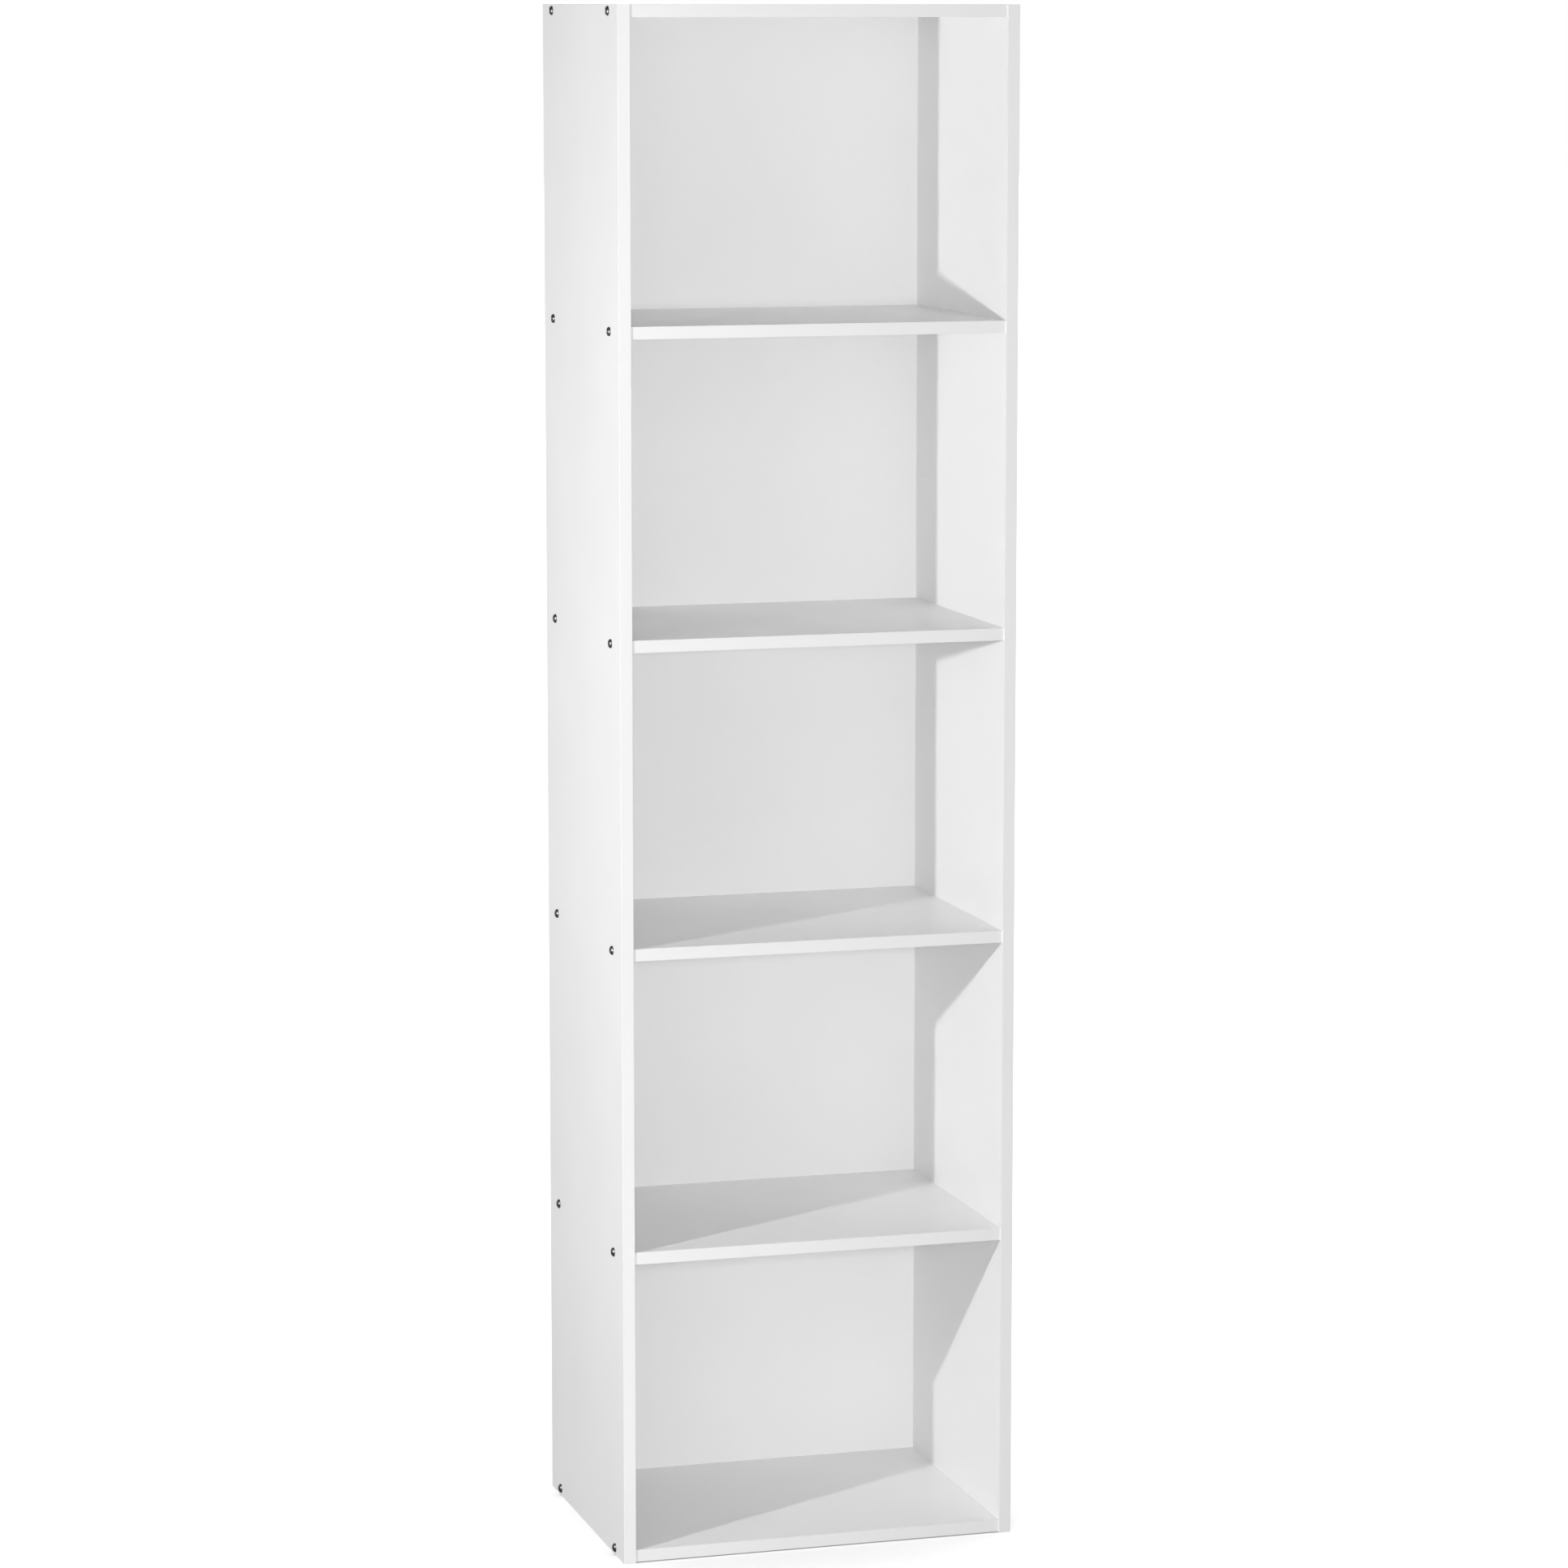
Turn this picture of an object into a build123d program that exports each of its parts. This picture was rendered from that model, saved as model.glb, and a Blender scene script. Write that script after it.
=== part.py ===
"""A tall, narrow open bookcase: two sides, a top, a bottom and four shelves held by round-head screws
through the sides, with a thin back panel let into grooves near the rear edges.

All lengths are in millimetres. The origin is on the floor under the middle of the case, +Z is up,
+X is to the right of someone facing the case, and the open front faces -Y.
"""

from build123d import *
import os

os.makedirs("parts", exist_ok=True)

# ---- Driving dimensions ------------------------------------------------------------------------

case_width = 396.0
case_depth = 290.0
case_height = 1500.0
board_thickness = 12.0          # sides, top, bottom and shelves are all cut from one board

floor_gap = 1.0                 # the bottom panel stays clear of the floor, so the sides carry the case
top_clear_height = 288.0        # free height of the uppermost compartment
shelf_pitch = 297.0             # from the top of one shelf to the top of the next
shelf_count = 4
front_recess = 1.5              # the cross boards stand back this far from the sides' front edges

edging_thickness = 0.5          # banding glued over the edges that show
edging_rounding = 0.3           # the banding's outer corners are eased by this radius

back_thickness = 3.0
back_setback = 7.0              # from the sides' rear edges to the rear of the back panel
groove_depth = 5.0
groove_side_play = 0.3          # the groove is wider than the back panel by this
groove_end_play = 0.5           # the back panel stops this short of each groove's floor

front_screw_inset = 35.0        # from the front edges of the sides to the front row of screws
rear_screw_inset = 37.0         # from the rear edges of the sides to the rear row
screw_length = 38.0             # below the head
head_diameter = 9.0
head_height = 2.9               # the domed head stands this far out from the side
head_rim = 0.2                  # straight band round the head below its dome
shank_diameter = 2.9
shank_length = 12.0             # plain length below the head
thread_diameter = 4.0
root_diameter = 2.6
thread_pitch = 1.8
point_length = 4.0
hole_play = 0.05                # radial gap between the thread and its hole

recess_span = 4.0               # cross recess: tip to tip
recess_slot = 0.9               # width of each arm at the crown of the head
recess_depth = 2.0              # below the crown
recess_taper = 12.0             # degrees, each wall towards the bottom of the recess

# ---- Worked-out places -------------------------------------------------------------------------

half_width = case_width / 2
half_depth = case_depth / 2
inside_width = case_width - 2 * board_thickness
cross_front = -half_depth + front_recess                        # front face of the cross boards' banding
back_rear = half_depth - back_setback
back_front = back_rear - back_thickness
groove_width = back_thickness + groove_side_play

bottom_top = floor_gap + board_thickness                        # upper face of the bottom panel
first_shelf_top = case_height - board_thickness - top_clear_height
shelf_tops = [first_shelf_top - index * shelf_pitch for index in range(shelf_count)]

# The height of the upper face of each cross board, and the name its screws go by.
level_tops = {"top_panel": case_height}
level_tops.update({f"shelf_{index + 1}": top for index, top in enumerate(shelf_tops)})
level_tops["bottom_panel"] = bottom_top

screw_rows = (-half_depth + front_screw_inset, half_depth - rear_screw_inset)
hole_radius = thread_diameter / 2 + hole_play
hole_end_play = 1.0                                             # past the tip of each screw
pilot_depth = screw_length + hole_end_play - board_thickness


def outer_face(side):
    """The outer face of the left (-1) or right (+1) side: local Y is up, local Z points out."""
    return Plane(origin=(side * half_width, 0, 0), x_dir=(0, side, 0), z_dir=(side, 0, 0))


def board_end(side, top):
    """The end of a cross board against a side, with its origin at half the board's thickness."""
    middle = top - board_thickness / 2
    return Plane(origin=(side * inside_width / 2, 0, middle), x_dir=(0, side, 0), z_dir=(side, 0, 0))


def finish_piece(piece, name):
    """Label a finished piece and write it as its own STEP file."""
    piece.part.label = name
    export_step(piece.part, f"parts/{name}.step")


# ---- Sides -------------------------------------------------------------------------------------


def make_side(side, name):
    """A full-height side with its screw holes and the groove for the back panel."""
    core_depth = case_depth - edging_thickness
    core_height = case_height - edging_thickness
    inner_x = side * inside_width / 2
    with BuildPart() as side_panel:
        with BuildSketch(outer_face(side)):
            with Locations((side * edging_thickness / 2, core_height / 2)):
                Rectangle(core_depth, core_height)
        extrude(amount=-board_thickness)
        with Locations(outer_face(side)):
            holes = [(side * row, top - board_thickness / 2) for row in screw_rows for top in level_tops.values()]
            with Locations(*holes):
                Hole(hole_radius, depth=board_thickness)
        with BuildSketch(Plane.XY):
            with Locations((inner_x + side * groove_depth / 2, back_front + groove_width / 2)):
                Rectangle(groove_depth, groove_width)
        extrude(amount=core_height, mode=Mode.SUBTRACT)
    finish_piece(side_panel, name)


def make_side_front_edging(side, name):
    """The banding on a side's front edge, from the floor to the top."""
    with BuildPart() as edging:
        with BuildSketch(Plane.XY):
            with Locations((side * (half_width - board_thickness / 2), -half_depth + edging_thickness / 2)):
                Rectangle(board_thickness, edging_thickness)
        extrude(amount=case_height)
        fillet(edging.edges().filter_by(Axis.Z).group_by(Axis.Y)[0], edging_rounding)
    finish_piece(edging, name)


def make_side_top_edging(side, name):
    """The banding on a side's top edge, cut through by the groove for the back panel."""
    inner_x = side * inside_width / 2
    with BuildPart() as edging:
        with BuildSketch(Plane.XY.offset(case_height - edging_thickness)):
            with Locations((side * (half_width - board_thickness / 2), edging_thickness / 2)):
                Rectangle(board_thickness, case_depth - edging_thickness)
            with Locations((inner_x + side * groove_depth / 2, back_front + groove_width / 2)):
                Rectangle(groove_depth, groove_width, mode=Mode.SUBTRACT)
        extrude(amount=edging_thickness)
        outer_edges = edging.edges().filter_by(Axis.Y).group_by(Axis.Z)[-1].sort_by(Axis.X)
        fillet(outer_edges[-1] if side > 0 else outer_edges[0], edging_rounding)
    finish_piece(edging, name)


for side, word in ((-1, "left"), (1, "right")):
    make_side(side, f"{word}_side_panel")
    make_side_front_edging(side, f"{word}_side_front_edging")
    make_side_top_edging(side, f"{word}_side_top_edging")

# ---- Cross boards ------------------------------------------------------------------------------


def make_cross_board(name, top):
    """The top, the bottom or a shelf: end holes for its screws, and a groove in the outer two."""
    core_front = cross_front + edging_thickness
    is_shelf = name.startswith("shelf")
    core_rear = back_front if is_shelf else half_depth
    with BuildPart() as board:
        with BuildSketch(Plane.XY.offset(top - board_thickness)):
            with Locations((0, (core_front + core_rear) / 2)):
                Rectangle(inside_width, core_rear - core_front)
        extrude(amount=board_thickness)
        for side in (-1, 1):
            with Locations(board_end(side, top)):
                with Locations(*[(side * row, 0) for row in screw_rows]):
                    Hole(hole_radius, depth=pilot_depth)
        if not is_shelf:
            groove_floor = top - board_thickness if name == "top_panel" else top - groove_depth
            with BuildSketch(Plane.XY.offset(groove_floor)):
                with Locations((0, back_front + groove_width / 2)):
                    Rectangle(inside_width, groove_width)
            extrude(amount=groove_depth, mode=Mode.SUBTRACT)
    finish_piece(board, name)


def make_cross_edging(name, top):
    """The banding on the front edge of a cross board."""
    with BuildPart() as edging:
        with BuildSketch(Plane.XY.offset(top - board_thickness)):
            with Locations((0, cross_front + edging_thickness / 2)):
                Rectangle(inside_width, edging_thickness)
        extrude(amount=board_thickness)
        fillet(edging.edges().filter_by(Axis.X).group_by(Axis.Y)[0], edging_rounding)
    finish_piece(edging, name)


for level, top in level_tops.items():
    make_cross_board(level, top)
    make_cross_edging(f"{level}_edging", top)

# ---- Back panel --------------------------------------------------------------------------------

groove_reach = groove_depth - groove_end_play                   # how far the back enters each groove
back_bottom = bottom_top - groove_reach
back_top = case_height - board_thickness + groove_reach

with BuildPart() as back_panel:
    with BuildSketch(Plane.XY.offset(back_bottom)):
        with Locations((0, (back_front + back_rear) / 2)):
            Rectangle(inside_width + 2 * groove_reach, back_thickness)
    extrude(amount=back_top - back_bottom)
finish_piece(back_panel, "back_panel")

# ---- Screws ------------------------------------------------------------------------------------


def shank_outline():
    """Half the section of the screw below its head, as (radius, height) points from rim to point."""
    head_radius, shank_radius = head_diameter / 2, shank_diameter / 2
    root_radius, crest_radius = root_diameter / 2, thread_diameter / 2
    points = [(head_radius, head_rim), (head_radius, 0), (shank_radius, 0)]
    points += [(shank_radius, -shank_length), (root_radius, -shank_length)]
    ridges = int((screw_length - point_length - shank_length) / thread_pitch)
    for ridge in range(ridges):
        start = shank_length + ridge * thread_pitch
        points += [(crest_radius, -start - thread_pitch / 2), (root_radius, -start - thread_pitch)]
    points += [(root_radius, point_length - screw_length), (0, -screw_length), (0, head_height)]
    return points


with BuildPart() as screw:
    with BuildSketch(Plane.XZ):
        with BuildLine():
            Polyline(*shank_outline())
            EllipticalCenterArc((0, head_rim), head_diameter / 2, head_height - head_rim, arc_size=90)
        make_face()
    revolve(axis=Axis.Z)
    with BuildSketch(Plane.XY.offset(head_height)):
        Rectangle(recess_span, recess_slot)
        Rectangle(recess_slot, recess_span)
    extrude(amount=-recess_depth, taper=recess_taper, mode=Mode.SUBTRACT)

for level, top in level_tops.items():
    with BuildPart() as level_screws:
        for side in (-1, 1):
            with Locations(outer_face(side)):
                with Locations(*[(side * row, top - board_thickness / 2) for row in screw_rows]):
                    add(screw.part)
    finish_piece(level_screws, f"{level}_screws")
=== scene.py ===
"""Looks of the open white bookcase: melamine-faced boards with banded edges, a hardboard back and
round-head screws, on a plain pale floor. Lengths are in metres, in the CAD model's own frame."""

from math import radians, tau

import bpy
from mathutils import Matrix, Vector


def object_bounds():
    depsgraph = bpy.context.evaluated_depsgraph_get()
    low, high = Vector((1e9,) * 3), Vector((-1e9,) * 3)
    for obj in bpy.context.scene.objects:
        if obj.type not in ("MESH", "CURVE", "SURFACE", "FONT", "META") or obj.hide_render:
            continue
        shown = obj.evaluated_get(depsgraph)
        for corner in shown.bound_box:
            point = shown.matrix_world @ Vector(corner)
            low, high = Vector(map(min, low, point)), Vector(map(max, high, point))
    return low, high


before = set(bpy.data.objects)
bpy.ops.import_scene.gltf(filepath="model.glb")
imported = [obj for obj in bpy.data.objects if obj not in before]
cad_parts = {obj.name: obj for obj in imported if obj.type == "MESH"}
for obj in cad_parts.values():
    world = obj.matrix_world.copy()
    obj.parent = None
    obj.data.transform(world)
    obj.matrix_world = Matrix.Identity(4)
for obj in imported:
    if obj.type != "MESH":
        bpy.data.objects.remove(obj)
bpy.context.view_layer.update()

# ---- Named values ------------------------------------------------------------------------------

MM = 0.001

# Camera: a little to the left of the case, level with its top, tipped down on to its middle.
CAMERA_PLACE = (-1.4556, -4.9706, 1.500)
CAMERA_TURN = 16.39             # degrees to the right of straight ahead
CAMERA_DIP = 8.37               # degrees below level
CAMERA_LENS = 121.67            # mm on a 36 mm sensor

# Lamps. The small key lamp stands to the front left at seven tenths of the case's height.
KEY_PLACE = (-1.61, -0.955, 1.064)
KEY_SIZE = 0.04
KEY_POWER = 17.8
SCREW_KEY_SIZE = 1.2            # for the screws, a larger lamp in the same place: a rounder highlight
SCREW_KEY_POWER = 80.0
FRONT_PLACE = (-1.0, -4.4, 1.3)
FRONT_SIZE = 0.4
FRONT_POWER = 75.0
LEFT_PLACE = (-1.9, 0.35, 0.80)     # to the left of the case, too far back to reach the inside
LEFT_AIM = (-0.198, 0.0, 0.75)
LEFT_SIZE = 1.6
LEFT_POWER = 7.6
LOW_PLACE = (-0.35, -0.80, 0.12)    # small fills for the bottom and the top of the case
LOW_AIM = (0.0, 0.0, 0.12)
LOW_SIZE = 0.5
LOW_POWER = 1.2
HIGH_PLACE = (-0.35, -1.0, 1.40)
HIGH_AIM = (0.0, 0.0, 1.34)
HIGH_SIZE = 0.4
HIGH_POWER = 1.0
REAR_PLACE = (1.7, 3.3, 3.5)        # high behind the case: lights its top, rear and right side
REAR_SIZE = 2.4
REAR_POWER = 230.0
RIGHT_PLACE = (2.2, 0.7, 1.1)       # to the right of the case, too far back to reach the inside
RIGHT_AIM = (0.198, 0.0, 0.75)
RIGHT_SIZE = 1.6
RIGHT_POWER = 9.0
FLOOR_SUN_PLACE = (0.0, 0.0, 3.0)
FLOOR_SUN_AIM = (0.0, 0.0, 0.0)
FLOOR_SUN_POWER = 3.7
FLOOR_SUN_SPREAD = 70.0         # degrees
AMBIENT = 0.30                  # radiance of the surroundings
AMBIENT_LOW = 0.15              # more of it, straight below, as from a white floor
BACKGROUND = 1.0                # what the camera sees behind the case
FLOOR_HALF = 40.0

# Colours
WHITE = (1.0, 1.0, 1.0, 1.0)
MELAMINE_WHITE = (0.895, 0.895, 0.895)
MELAMINE_SHADE = (0.880, 0.880, 0.880)
BANDING_WHITE = (0.805, 0.805, 0.805)
BANDING_SHADE = (0.790, 0.790, 0.790)
LACQUER_WHITE = (0.890, 0.890, 0.890)
CHIP_LIGHT = (0.620, 0.455, 0.280)
CHIP_DARK = (0.330, 0.205, 0.105)
HARDBOARD_LIGHT = (0.300, 0.180, 0.095)
HARDBOARD_DARK = (0.190, 0.105, 0.050)
SCREW_DARK = (0.085, 0.082, 0.074)
SCREW_BRONZE = (0.130, 0.124, 0.110)
FLOOR_WHITE = (0.900, 0.900, 0.900)

# Roughness of the surfaces, each from its smoothest to its roughest where it varies
MELAMINE_ROUGH = (0.33, 0.40)
BANDING_ROUGH = (0.32, 0.42)
SCREW_ROUGH = (0.24, 0.30)
CHIP_ROUGH = 0.85
HARDBOARD_ROUGH = 0.75
LACQUER_ROUGH = 0.45
FLOOR_ROUGH = 0.90

# Grain, in features to a metre
MELAMINE_PATCHES = 5
MELAMINE_WEAR = 14
BANDING_PATCHES = 8
LACQUER_PATCHES = 4
PEARL_GRAIN = 1300
PEARL_SWELL = 240
TRIM_GRAIN = 700
CHIP_GRAIN = 430
DUST_GRAIN = 900
PIT_GRAIN = 260
FIBRE_GRAIN = 900
CLOUD_GRAIN = 18
ROLLER_GRAIN = 420
FILM_GRAIN = 600
SCREW_WEAR = 1500
POLISH_GRAIN = 2600

# Scale of the grain along its own direction, where it runs long
CHIP_RUN = 0.35
FIBRE_RUN = 0.35
TRIM_RUN = 0.05

MESH_PITCH = 1.4 * MM           # of the wire mesh that marks the rear of the hardboard

# Height of the grain
PEARL_HEIGHT = 0.012 * MM
CHIP_HEIGHT = 0.25 * MM
FIBRE_HEIGHT = 0.03 * MM
ROLLER_HEIGHT = 0.02 * MM
POLISH_HEIGHT = 0.006 * MM

# Shares of the parts that a tone or a height is mixed from
CHIP_SHARE = 0.7
DUST_SHARE = 0.35
SWELL_SHARE = 1.6
FIBRE_SHARE = 0.6
CLOUD_SHARE = 0.4

# The part of a noise's range that is spread over a whole change of colour or roughness
SOFT = (0.30, 0.70)
SHARP = (0.35, 0.65)

SQUARE_ON = 0.9                 # a face is square to an axis if this much of its normal lies along it

# ---- Node helpers ------------------------------------------------------------------------------


class Shader:
    """A material's node tree, with a short way to add a node and to join sockets."""

    def __init__(self, name):
        self.material = bpy.data.materials.new(name)
        self.material.use_nodes = True
        self.nodes = self.material.node_tree.nodes
        self.links = self.material.node_tree.links
        self.surface = self.nodes["Principled BSDF"]

    def add(self, kind, inputs=None, **settings):
        """A new node. An input is a value, or a socket to take it from."""
        node = self.nodes.new(kind)
        for key, value in settings.items():
            setattr(node, key, value)
        for key, value in (inputs or {}).items():
            self.put(node, key, value)
        return node

    def put(self, node, key, value):
        if isinstance(value, bpy.types.NodeSocket):
            self.links.new(value, node.inputs[key])
        else:
            node.inputs[key].default_value = value

    def place(self, stretch=(1, 1, 1)):
        """The point on the object in metres, scaled along each axis."""
        point = self.add("ShaderNodeTexCoord").outputs["Object"]
        return self.add("ShaderNodeMapping", {"Vector": point, "Scale": stretch}).outputs["Vector"]

    def noise(self, scale, detail=2.0, stretch=(1, 1, 1)):
        """Smooth noise with scale features to a metre."""
        inputs = {"Vector": self.place(stretch), "Scale": scale, "Detail": detail}
        return self.add("ShaderNodeTexNoise", inputs).outputs["Fac"]

    def cells(self, scale, stretch):
        """Flat cells, scale of them to a metre, each with a value of its own."""
        inputs = {"Vector": self.place(stretch), "Scale": scale}
        return self.add("ShaderNodeTexVoronoi", inputs).outputs["Color"]

    def math(self, operation, first, second=0.0):
        return self.add("ShaderNodeMath", {0: first, 1: second}, operation=operation).outputs[0]

    def span(self, value, low, high, to_low=0.0, to_high=1.0):
        """value carried from the range low..high to the range to_low..to_high."""
        inputs = {"Value": value, "From Min": low, "From Max": high, "To Min": to_low, "To Max": to_high}
        return self.add("ShaderNodeMapRange", inputs).outputs["Result"]

    def blend(self, factor, first, second):
        """A colour between first, where factor is 0, and second, where it is 1."""
        node = self.add("ShaderNodeMix", {0: factor}, data_type="RGBA")
        for index, colour in ((6, first), (7, second)):     # the Mix node's two colour sockets
            self.put(node, index, colour if isinstance(colour, bpy.types.NodeSocket) else (*colour, 1.0))
        return node.outputs[2]

    def normal(self, axis):
        """The part of the face's own normal along a world axis, which is also the case's own."""
        normal = self.add("ShaderNodeNewGeometry").outputs["True Normal"]
        return self.add("ShaderNodeSeparateXYZ", {"Vector": normal}).outputs[axis]

    def facing(self, axis):
        """1 on faces square to the axis, either way round, and 0 elsewhere."""
        return self.math("GREATER_THAN", self.math("ABSOLUTE", self.normal(axis)), SQUARE_ON)

    def bump(self, height, depth, under=None):
        """A normal with the surface raised by height times depth, in metres."""
        inputs = {"Height": height, "Distance": depth, "Strength": 1.0}
        if under is not None:
            inputs["Normal"] = under
        return self.add("ShaderNodeBump", inputs).outputs["Normal"]

    def finish(self, inputs):
        """Set the surface shader's sockets by name, and give the material."""
        for key, value in inputs.items():
            self.put(self.surface, key, value)
        return self.material


# ---- Materials ---------------------------------------------------------------------------------


def along(axis, run):
    """Scales on X, Y and Z that make the grain run long along one axis."""
    return tuple(run if name == axis else 1.0 for name in "XYZ")


def chipboard(shader, stretch):
    """Colour and height of a raw particleboard edge: flat chips, long along the board."""
    chips = shader.math("MULTIPLY", shader.cells(CHIP_GRAIN, stretch), CHIP_SHARE)
    dust = shader.math("MULTIPLY", shader.noise(DUST_GRAIN), DUST_SHARE)
    tone = shader.math("ADD", chips, dust)
    colour = shader.blend(tone, CHIP_DARK, CHIP_LIGHT)
    return colour, shader.math("ADD", tone, shader.noise(PIT_GRAIN, detail=3.0))


def melamine(name, face_axis, board_axis):
    """White melamine on the two faces square to face_axis, and raw particleboard on the rest."""
    shader = Shader(name)
    face = shader.facing(face_axis)
    patches = shader.span(shader.noise(MELAMINE_PATCHES, detail=3.0), *SHARP)
    white = shader.blend(patches, MELAMINE_SHADE, MELAMINE_WHITE)
    raw, raw_height = chipboard(shader, along(board_axis, CHIP_RUN))
    face_rough = shader.span(shader.noise(MELAMINE_WEAR, detail=3.0), *SOFT, *MELAMINE_ROUGH)
    swell = shader.math("MULTIPLY", shader.noise(PEARL_SWELL, detail=1.0), SWELL_SHARE)
    pearl = shader.math("MULTIPLY", shader.math("ADD", shader.noise(PEARL_GRAIN), swell), face)
    chips = shader.math("MULTIPLY", raw_height, shader.math("SUBTRACT", 1.0, face))
    rough = shader.add("ShaderNodeMix", {0: face, 2: CHIP_ROUGH, 3: face_rough}, data_type="FLOAT")
    return shader.finish({
        "Base Color": shader.blend(face, raw, white),
        "Roughness": rough.outputs[0],
        "Normal": shader.bump(chips, CHIP_HEIGHT, shader.bump(pearl, PEARL_HEIGHT)),
    })


def banding(name, edge_axis):
    """White edge banding, with the faint lines that the trimming leaves along it."""
    shader = Shader(name)
    lines = shader.noise(TRIM_GRAIN, stretch=along(edge_axis, TRIM_RUN))
    patches = shader.span(shader.noise(BANDING_PATCHES), *SOFT)
    height = shader.math("ADD", shader.noise(PEARL_GRAIN), lines)
    return shader.finish({
        "Base Color": shader.blend(patches, BANDING_SHADE, BANDING_WHITE),
        "Roughness": shader.span(lines, *SOFT, *BANDING_ROUGH),
        "Normal": shader.bump(height, PEARL_HEIGHT),
    })


def hardboard(name):
    """Thin hardboard: white lacquer on the front face, and the brown mesh-marked side behind."""
    shader = Shader(name)
    front = shader.math("LESS_THAN", shader.normal("Y"), -SQUARE_ON)
    behind = shader.math("SUBTRACT", 1.0, front)
    patches = shader.span(shader.noise(LACQUER_PATCHES), *SHARP)
    white = shader.blend(patches, MELAMINE_SHADE, LACQUER_WHITE)
    fibre = shader.noise(FIBRE_GRAIN, detail=4.0, stretch=along("Z", FIBRE_RUN))
    cloud = shader.math("MULTIPLY", shader.noise(CLOUD_GRAIN, detail=3.0), CLOUD_SHARE)
    tone = shader.math("ADD", shader.math("MULTIPLY", fibre, FIBRE_SHARE), cloud)
    brown = shader.blend(shader.span(tone, *SOFT), HARDBOARD_DARK, HARDBOARD_LIGHT)
    point = shader.add("ShaderNodeSeparateXYZ", {"Vector": shader.place()})
    waves = [
        shader.math("SINE", shader.math("MULTIPLY", point.outputs[axis], tau / MESH_PITCH))
        for axis in "XZ"
    ]
    mesh = shader.math("MULTIPLY", *waves)
    rough_side = shader.math("MULTIPLY", shader.math("ADD", mesh, fibre), behind)
    roller = shader.math("MULTIPLY", shader.noise(ROLLER_GRAIN), front)
    return shader.finish({
        "Base Color": shader.blend(front, brown, white),
        "Roughness": shader.span(front, 0.0, 1.0, HARDBOARD_ROUGH, LACQUER_ROUGH),
        "Normal": shader.bump(rough_side, FIBRE_HEIGHT, shader.bump(roller, ROLLER_HEIGHT)),
    })


def screw_steel(name):
    """Smooth bronzed steel, with a film of uneven depth and fine polishing marks."""
    shader = Shader(name)
    film = shader.span(shader.noise(FILM_GRAIN, detail=3.0), *SHARP)
    return shader.finish({
        "Base Color": shader.blend(film, SCREW_DARK, SCREW_BRONZE),
        "Metallic": 1.0,
        "Roughness": shader.span(shader.noise(SCREW_WEAR), *SOFT, *SCREW_ROUGH),
        "Normal": shader.bump(shader.noise(POLISH_GRAIN), POLISH_HEIGHT),
    })


def floor_paint(name):
    inputs = {"Base Color": (*FLOOR_WHITE, 1.0), "Roughness": FLOOR_ROUGH, "Specular IOR Level": 0.0}
    return Shader(name).finish(inputs)


def dress(material, names):
    """Give CAD nodes their material."""
    for name in names:
        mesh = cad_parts[name].data
        mesh.materials.clear()
        mesh.materials.append(material)


sides = ("left_side", "right_side")
cross_boards = ("top_panel", "shelf_1", "shelf_2", "shelf_3", "shelf_4", "bottom_panel")

dress(melamine("side_melamine", "X", "Z"), [f"{side}_panel" for side in sides])
dress(melamine("cross_board_melamine", "Z", "X"), cross_boards)
dress(banding("side_front_banding", "Z"), [f"{side}_front_edging" for side in sides])
dress(banding("side_top_banding", "Y"), [f"{side}_top_edging" for side in sides])
dress(banding("cross_board_banding", "X"), [f"{board}_edging" for board in cross_boards])
dress(hardboard("back_hardboard"), ["back_panel"])
dress(screw_steel("screw_steel"), [f"{board}_screws" for board in cross_boards])

# ---- Stage, lights and camera ------------------------------------------------------------------


def make_floor():
    """A wide plain floor that takes the case's shadow, and sends no light back on to the case."""
    mesh = bpy.data.meshes.new("floor")
    corners = [(x * FLOOR_HALF, y * FLOOR_HALF, 0.0) for x, y in ((-1, -1), (1, -1), (1, 1), (-1, 1))]
    mesh.from_pydata(corners, [], [(0, 1, 2, 3)])
    mesh.materials.append(floor_paint("floor_paint"))
    floor = bpy.data.objects.new("floor", mesh)
    bpy.context.scene.collection.objects.link(floor)
    floor.visible_diffuse = False
    floor.visible_glossy = False
    return floor


def group(name, objects):
    """A collection that a lamp's light is kept to."""
    collection = bpy.data.collections.new(name)
    for item in objects:
        collection.objects.link(item)
    return collection


def add_light(name, kind, place, aim, power, lights, sheen=True, **settings):
    """A lamp at place, turned to aim, that lights only the objects in one collection.
    Without sheen, glossy surfaces don't mirror it."""
    lamp = bpy.data.lights.new(name, kind)
    lamp.energy = power
    for key, value in settings.items():
        setattr(lamp, key, value)
    holder = bpy.data.objects.new(name, lamp)
    bpy.context.scene.collection.objects.link(holder)
    holder.location = place
    holder.rotation_euler = (Vector(aim) - Vector(place)).to_track_quat("-Z", "Y").to_euler()
    holder.light_linking.receiver_collection = lights
    holder.visible_glossy = sheen


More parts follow.
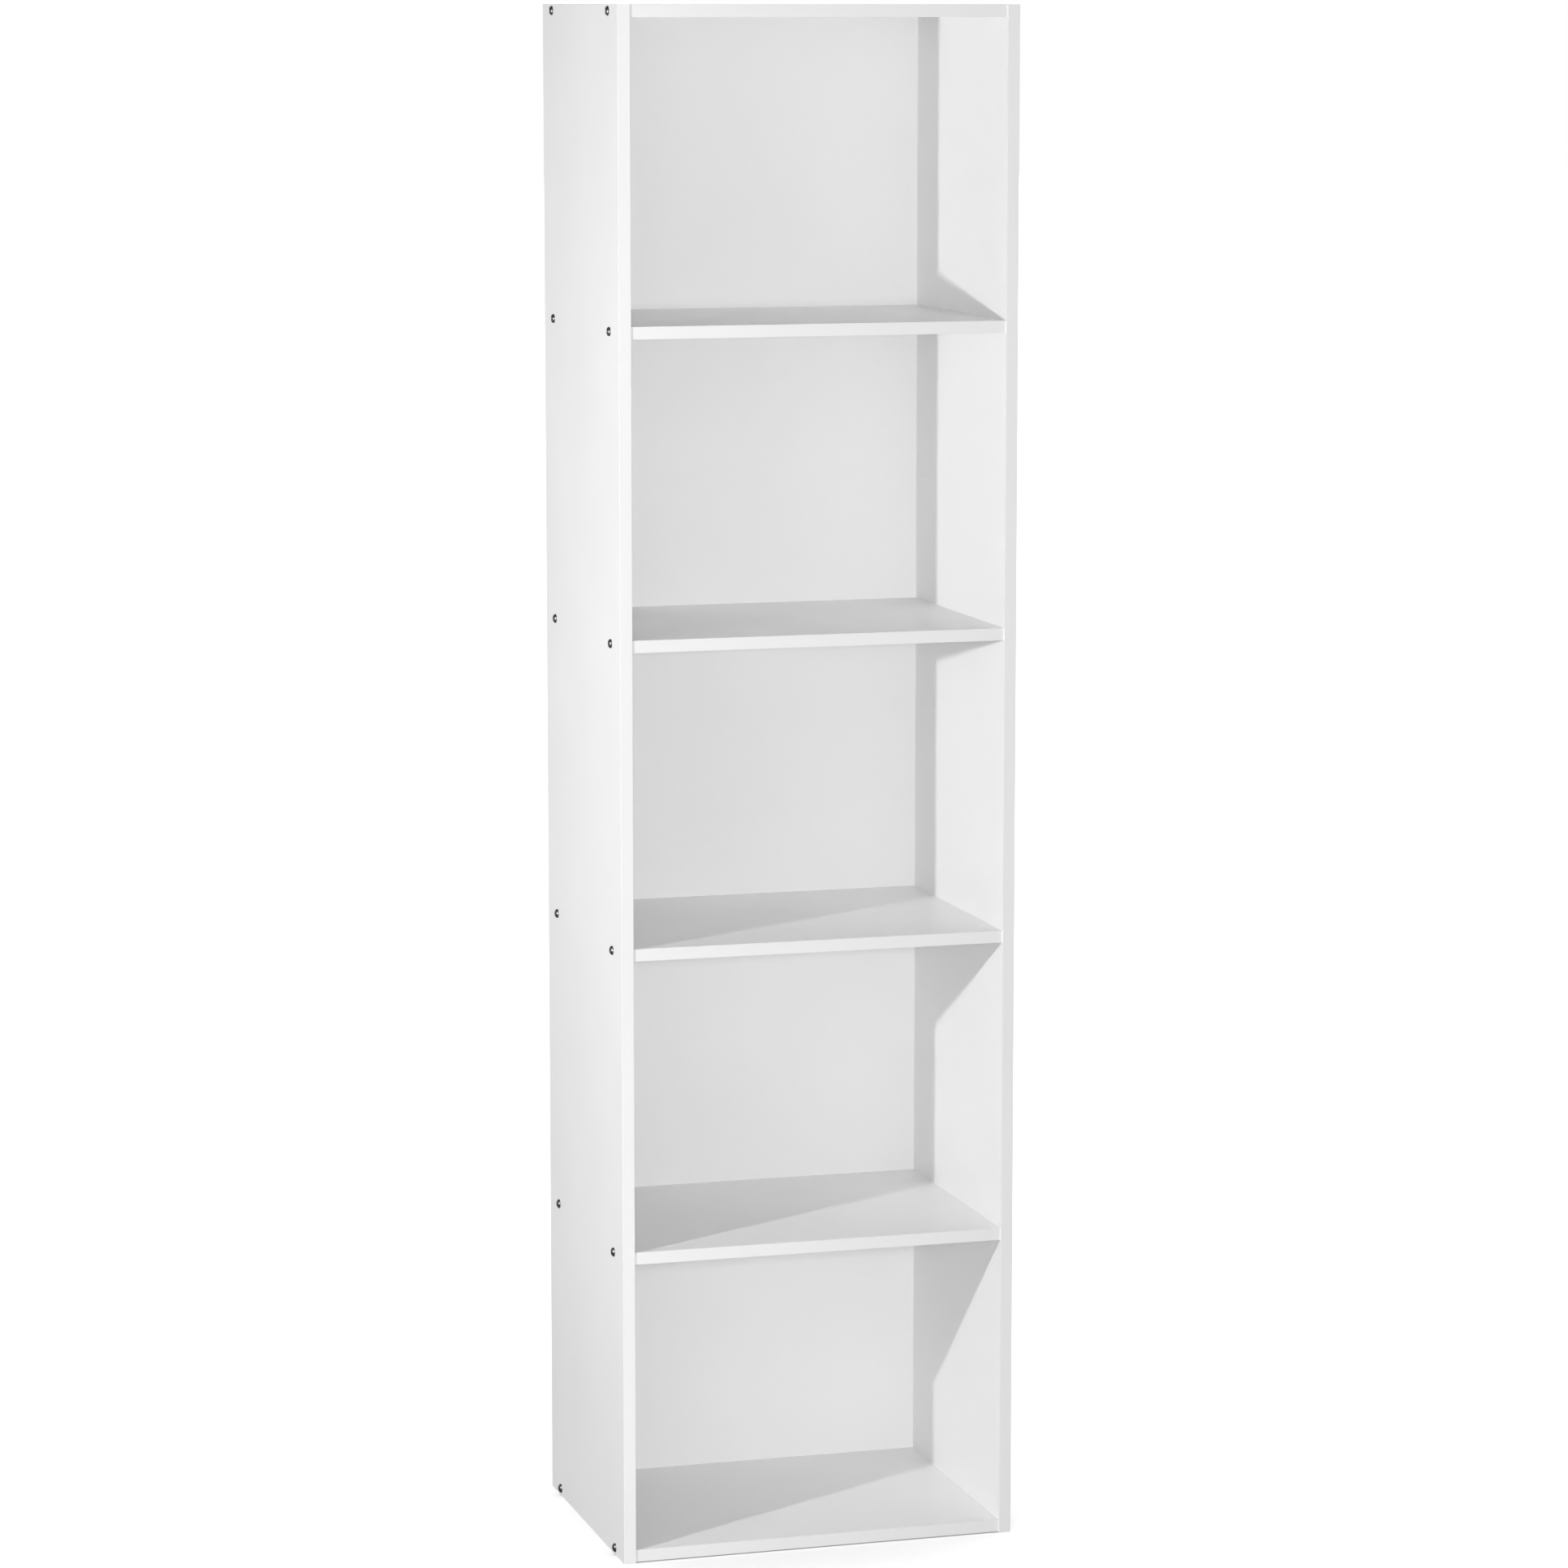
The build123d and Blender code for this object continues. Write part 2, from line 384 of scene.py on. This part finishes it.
def make_lights(middle, floor):
    """The lamps on the case, and a soft sun on the floor alone, so that the floor can be white."""
    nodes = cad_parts
    screws = [name for name in nodes if name.endswith("_screws")]
    case_only = group("lit_case", nodes.values())
    screws_only = group("lit_screws", [nodes[name] for name in screws])
    boards_only = group("lit_boards", [nodes[name] for name in nodes if name not in screws])
    floor_only = group("lit_floor", [floor])

    # The key and the rear lamp would leave hot spots on the boards in views from behind and above.
    add_light("key", "AREA", KEY_PLACE, middle, KEY_POWER, boards_only, sheen=False, size=KEY_SIZE)
    add_light("screw_key", "AREA", KEY_PLACE, middle, SCREW_KEY_POWER, screws_only, size=SCREW_KEY_SIZE)
    add_light("front_fill", "AREA", FRONT_PLACE, middle, FRONT_POWER, case_only, size=FRONT_SIZE)
    add_light("left_fill", "AREA", LEFT_PLACE, LEFT_AIM, LEFT_POWER, case_only, size=LEFT_SIZE)
    add_light("low_fill", "AREA", LOW_PLACE, LOW_AIM, LOW_POWER, case_only, size=LOW_SIZE)
    add_light("high_fill", "AREA", HIGH_PLACE, HIGH_AIM, HIGH_POWER, case_only, size=HIGH_SIZE)
    add_light("rear_fill", "AREA", REAR_PLACE, middle, REAR_POWER, case_only, sheen=False, size=REAR_SIZE)
    add_light("right_fill", "AREA", RIGHT_PLACE, RIGHT_AIM, RIGHT_POWER, case_only, size=RIGHT_SIZE)
    add_light(
        "floor_light", "SUN", FLOOR_SUN_PLACE, FLOOR_SUN_AIM, FLOOR_SUN_POWER, floor_only,
        angle=radians(FLOOR_SUN_SPREAD),
    )


def make_world():
    """Dim even surroundings that light the case, and a white background behind it."""
    world = bpy.data.worlds.new("studio")
    bpy.context.scene.world = world
    world.use_nodes = True
    nodes, links = world.node_tree.nodes, world.node_tree.links
    around = nodes["Background"]
    around.inputs["Color"].default_value = WHITE
    towards, parts = nodes.new("ShaderNodeTexCoord"), nodes.new("ShaderNodeSeparateXYZ")
    links.new(towards.outputs["Generated"], parts.inputs[0])
    below = nodes.new("ShaderNodeMapRange")
    spans = {"From Min": 0.0, "From Max": -1.0, "To Min": AMBIENT, "To Max": AMBIENT + AMBIENT_LOW}
    for key, value in spans.items():
        below.inputs[key].default_value = value
    links.new(parts.outputs["Z"], below.inputs["Value"])
    links.new(below.outputs["Result"], around.inputs["Strength"])
    behind = nodes.new("ShaderNodeBackground")
    behind.inputs["Strength"].default_value = BACKGROUND
    behind.inputs["Color"].default_value = WHITE
    rays, mix = nodes.new("ShaderNodeLightPath"), nodes.new("ShaderNodeMixShader")
    links.new(rays.outputs["Is Camera Ray"], mix.inputs[0])
    links.new(around.outputs[0], mix.inputs[1])
    links.new(behind.outputs[0], mix.inputs[2])
    links.new(mix.outputs[0], nodes["World Output"].inputs["Surface"])


def make_camera():
    lens = bpy.data.cameras.new("camera")
    lens.lens = CAMERA_LENS
    camera = bpy.data.objects.new("camera", lens)
    bpy.context.scene.collection.objects.link(camera)
    camera.location = CAMERA_PLACE
    camera.rotation_euler = (radians(90 - CAMERA_DIP), 0, radians(-CAMERA_TURN))
    bpy.context.scene.camera = camera


low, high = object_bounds()
middle = (Vector(low) + Vector(high)) / 2
floor = make_floor()
make_world()
make_lights(middle, floor)
make_camera()
bpy.context.scene.view_settings.view_transform = "Standard"
